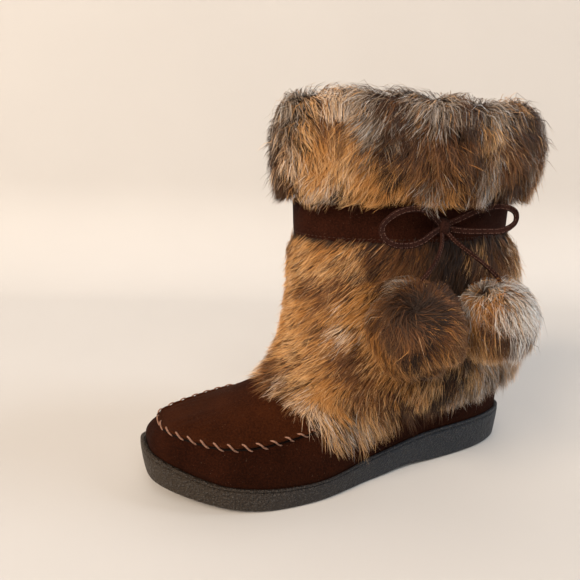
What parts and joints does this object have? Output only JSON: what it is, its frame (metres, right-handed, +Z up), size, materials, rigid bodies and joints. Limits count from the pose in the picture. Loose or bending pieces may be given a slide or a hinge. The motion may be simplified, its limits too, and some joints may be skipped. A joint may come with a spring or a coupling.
{
  "type": "winter boot",
  "caption": "Left winter boot with a hollow suede foot and shaft, a rubber wedge sole, a fur shaft, a fur cuff over a band, and a lace bow with pompoms.",
  "frame": {"origin": "on the sole's flat underside, under the middle of the boot's length and on its centre line", "axes": "+X towards the outer side of the foot, +Y towards the heel, +Z up; the toe points along -Y"},
  "size_m": [0.1755, 0.288, 0.2449],
  "materials": {
    "sole_rubber": "pebbled dark grey-brown rubber, matt",
    "suede": "dark brown suede, matt nap",
    "apron_suede": "dark reddish-brown suede with light tan whip stitches",
    "band_suede": "dark brown suede with stitched edges",
    "lace_suede": "flat dark brown suede lace with stitched edges",
    "insole_pile": "short beige pile, also the lining",
    "shaft_fur": "long orange-tan fur with dark brown patches",
    "cuff_fur": "long fur, grey-brown above, tan and black in patches",
    "brown_pompom_fur": "fluffy brown fur with a dark swirl",
    "grey_pompom_fur": "fluffy grey-white fur with a black patch"
  },
  "bodies": {
    "root": {"outsole": "sole_rubber", "upper": "suede", "insole": "insole_pile", "apron": "apron_suede", "band": "band_suede", "fur_shaft": "shaft_fur", "fur_cuff": "cuff_fur", "bow_knot": "lace_suede", "bow_loop_front": "lace_suede", "bow_loop_rear": "lace_suede", "lace_tail_front": "lace_suede", "lace_tail_rear": "lace_suede", "pompom_front": "brown_pompom_fur", "pompom_rear": "grey_pompom_fur"}
  },
  "joints": []
}
